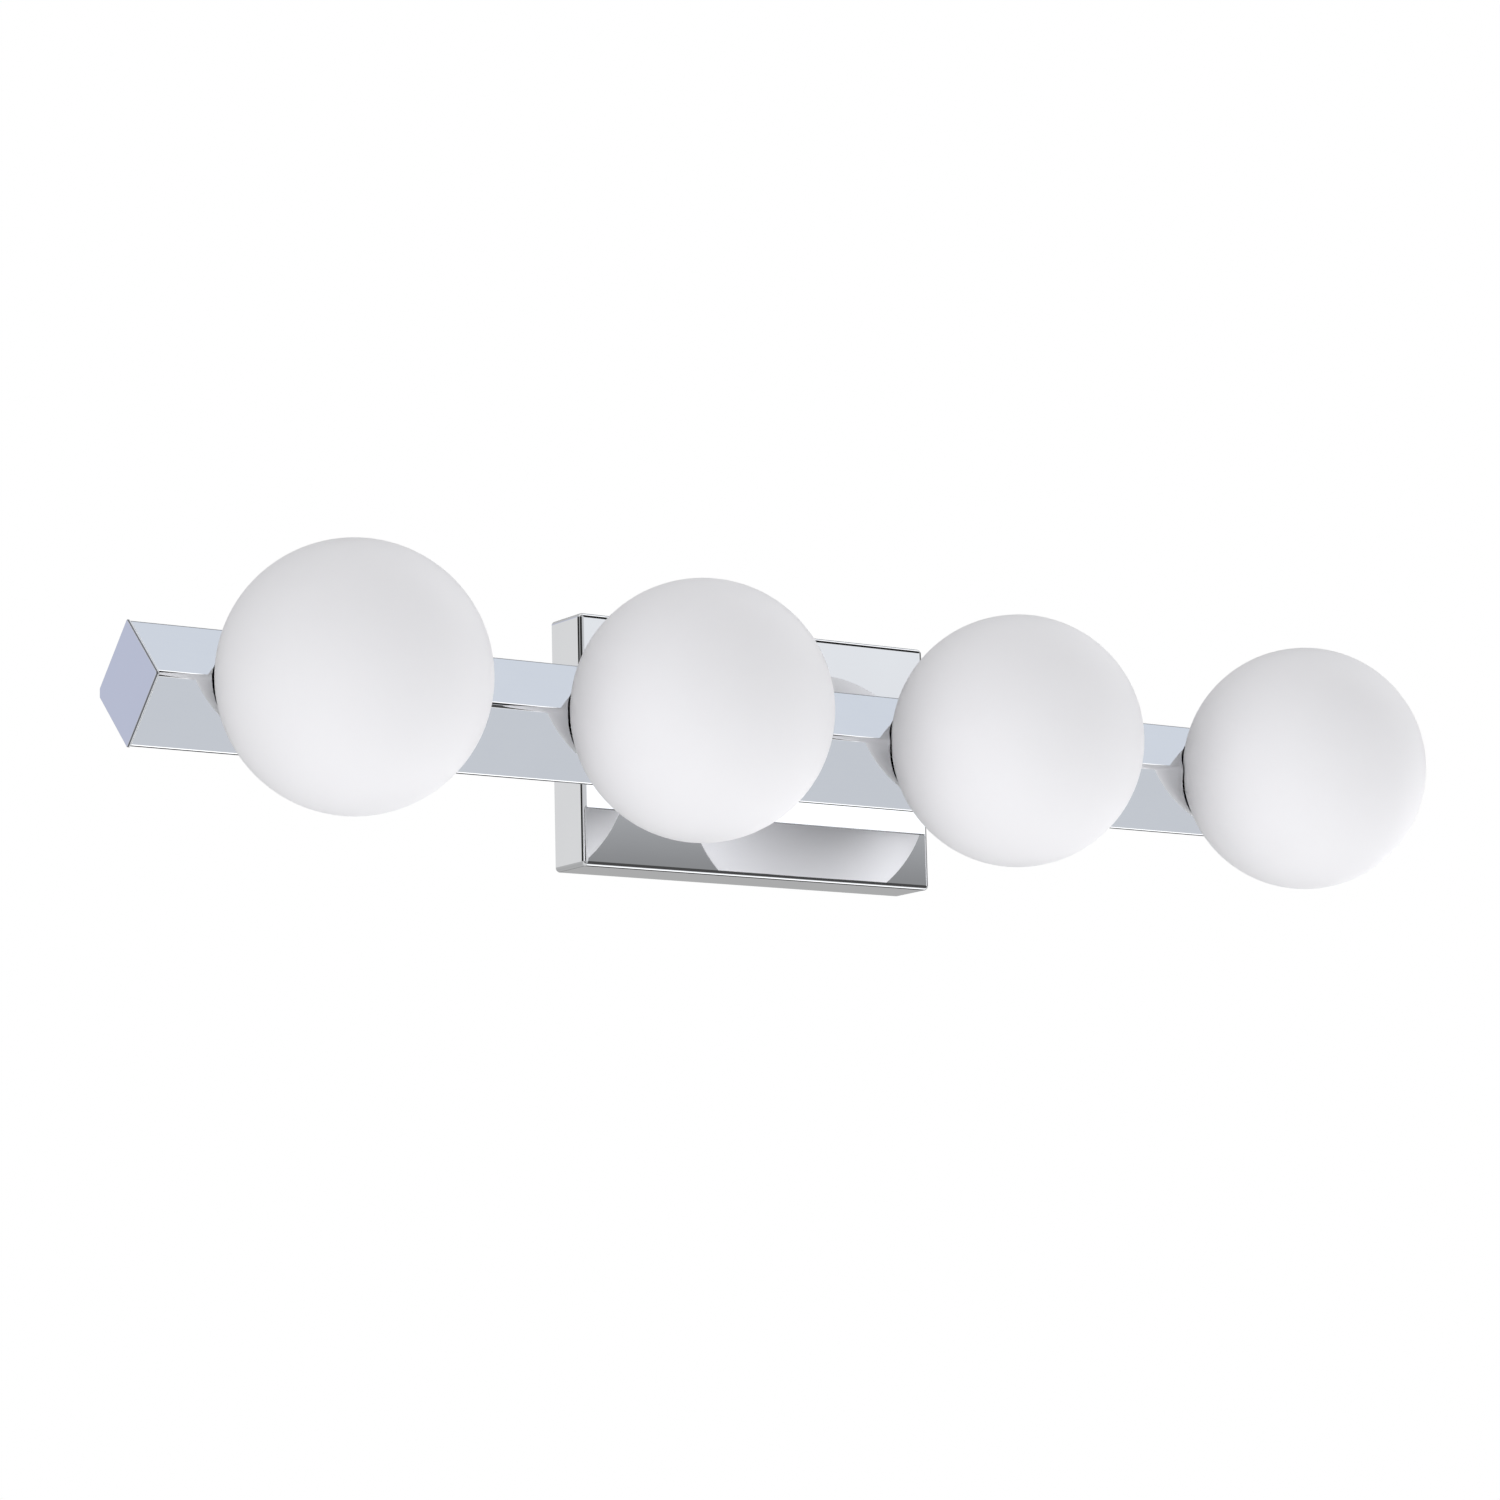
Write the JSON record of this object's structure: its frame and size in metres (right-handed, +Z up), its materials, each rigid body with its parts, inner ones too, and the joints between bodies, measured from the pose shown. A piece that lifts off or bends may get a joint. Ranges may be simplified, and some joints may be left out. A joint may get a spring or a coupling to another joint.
{
  "type": "vanity light bar",
  "caption": "Wall vanity light bar: a square chrome tube set on its corner carries opal glass globes in scalloped openings, on a rectangular wall backplate.",
  "frame": {"origin": "centre of the wall face: the plane where the bracket and the backplate's rim meet the wall", "axes": "+Z up, +X to the right along the bar as seen from the room, +Y into the wall, so the light faces -Y"},
  "size_m": [0.7, 0.1713, 0.12],
  "materials": {
    "chrome": "polished",
    "opal_glass": "satin etched",
    "zinc_steel": "bright zinc",
    "rivet_aluminium": "plain",
    "spring_steel": "bright rolled",
    "silicone": "translucent white",
    "holder_ceramic": "glazed",
    "lamp_diffuser": "frosted",
    "lamp_base": "moulded",
    "nickel_wire": "nickel plated",
    "nipple_brass": "plain",
    "earth_green": "dyed green",
    "lead_black": "satin",
    "lead_white": "satin",
    "connector_orange": "moulded",
    "bare_copper": "bare copper"
  },
  "bodies": {
    "bracket": {"wall_bracket": "zinc_steel", "bracket_earth_screw": "earth_green"},
    "globe_1": {"globe_1": "opal_glass"},
    "lamp_1": {"lamp_capsule_1": "lamp_diffuser", "lamp_base_1": "lamp_base", "lamp_pins_1": "nickel_wire"},
    "globe_2": {"globe_2": "opal_glass"},
    "lamp_2": {"lamp_capsule_2": "lamp_diffuser", "lamp_base_2": "lamp_base", "lamp_pins_2": "nickel_wire"},
    "globe_3": {"globe_3": "opal_glass"},
    "lamp_3": {"lamp_capsule_3": "lamp_diffuser", "lamp_base_3": "lamp_base", "lamp_pins_3": "nickel_wire"},
    "globe_4": {"globe_4": "opal_glass"},
    "lamp_4": {"lamp_capsule_4": "lamp_diffuser", "lamp_base_4": "lamp_base", "lamp_pins_4": "nickel_wire"},
    "fixture": {"backplate": "chrome", "bar_tube": "chrome", "bracket_rivets": "rivet_aluminium", "earth_lead": "bare_copper", "earth_terminal": "zinc_steel", "end_cap_left": "chrome", "end_cap_right": "chrome", "globe_gasket_1": "silicone", "globe_gasket_2": "silicone", "globe_gasket_3": "silicone", "globe_gasket_4": "silicone", "holder_bracket_1": "zinc_steel", "holder_bracket_2": "zinc_steel", "holder_bracket_3": "zinc_steel", "holder_bracket_4": "zinc_steel", "holder_screws": "zinc_steel", "hollow_nipples": "nipple_brass", "inner_saddles": "zinc_steel", "lampholder_1": "holder_ceramic", "lampholder_2": "holder_ceramic", "lampholder_3": "holder_ceramic", "lampholder_4": "holder_ceramic", "line_connector": "connector_orange", "line_leads": "lead_black", "neutral_connector": "connector_orange", "neutral_leads": "lead_white", "nipple_nuts": "zinc_steel", "nipple_washers": "zinc_steel", "outer_saddles": "chrome", "side_screw_nuts": "zinc_steel", "side_screws": "chrome", "spring_collar_1": "spring_steel", "spring_collar_2": "spring_steel", "spring_collar_3": "spring_steel", "spring_collar_4": "spring_steel"}
  },
  "joints": [
    {"name": "fixture_off", "type": "slide", "parent": "bracket", "child": "fixture", "axis": [0, -1, 0], "range_m": [0, 0.06]},
    {"name": "globe_1_off", "type": "slide", "parent": "fixture", "child": "globe_1", "axis": [0, -1, 0], "range_m": [0, 0.11]},
    {"name": "lamp_1_out", "type": "slide", "parent": "fixture", "child": "lamp_1", "axis": [0, -1, 0], "range_m": [0, 0.045]},
    {"name": "globe_2_off", "type": "slide", "parent": "fixture", "child": "globe_2", "axis": [0, -1, 0], "range_m": [0, 0.11]},
    {"name": "lamp_2_out", "type": "slide", "parent": "fixture", "child": "lamp_2", "axis": [0, -1, 0], "range_m": [0, 0.045]},
    {"name": "globe_3_off", "type": "slide", "parent": "fixture", "child": "globe_3", "axis": [0, -1, 0], "range_m": [0, 0.11]},
    {"name": "lamp_3_out", "type": "slide", "parent": "fixture", "child": "lamp_3", "axis": [0, -1, 0], "range_m": [0, 0.045]},
    {"name": "globe_4_off", "type": "slide", "parent": "fixture", "child": "globe_4", "axis": [0, -1, 0], "range_m": [0, 0.11]},
    {"name": "lamp_4_out", "type": "slide", "parent": "fixture", "child": "lamp_4", "axis": [0, -1, 0], "range_m": [0, 0.045]}
  ]
}
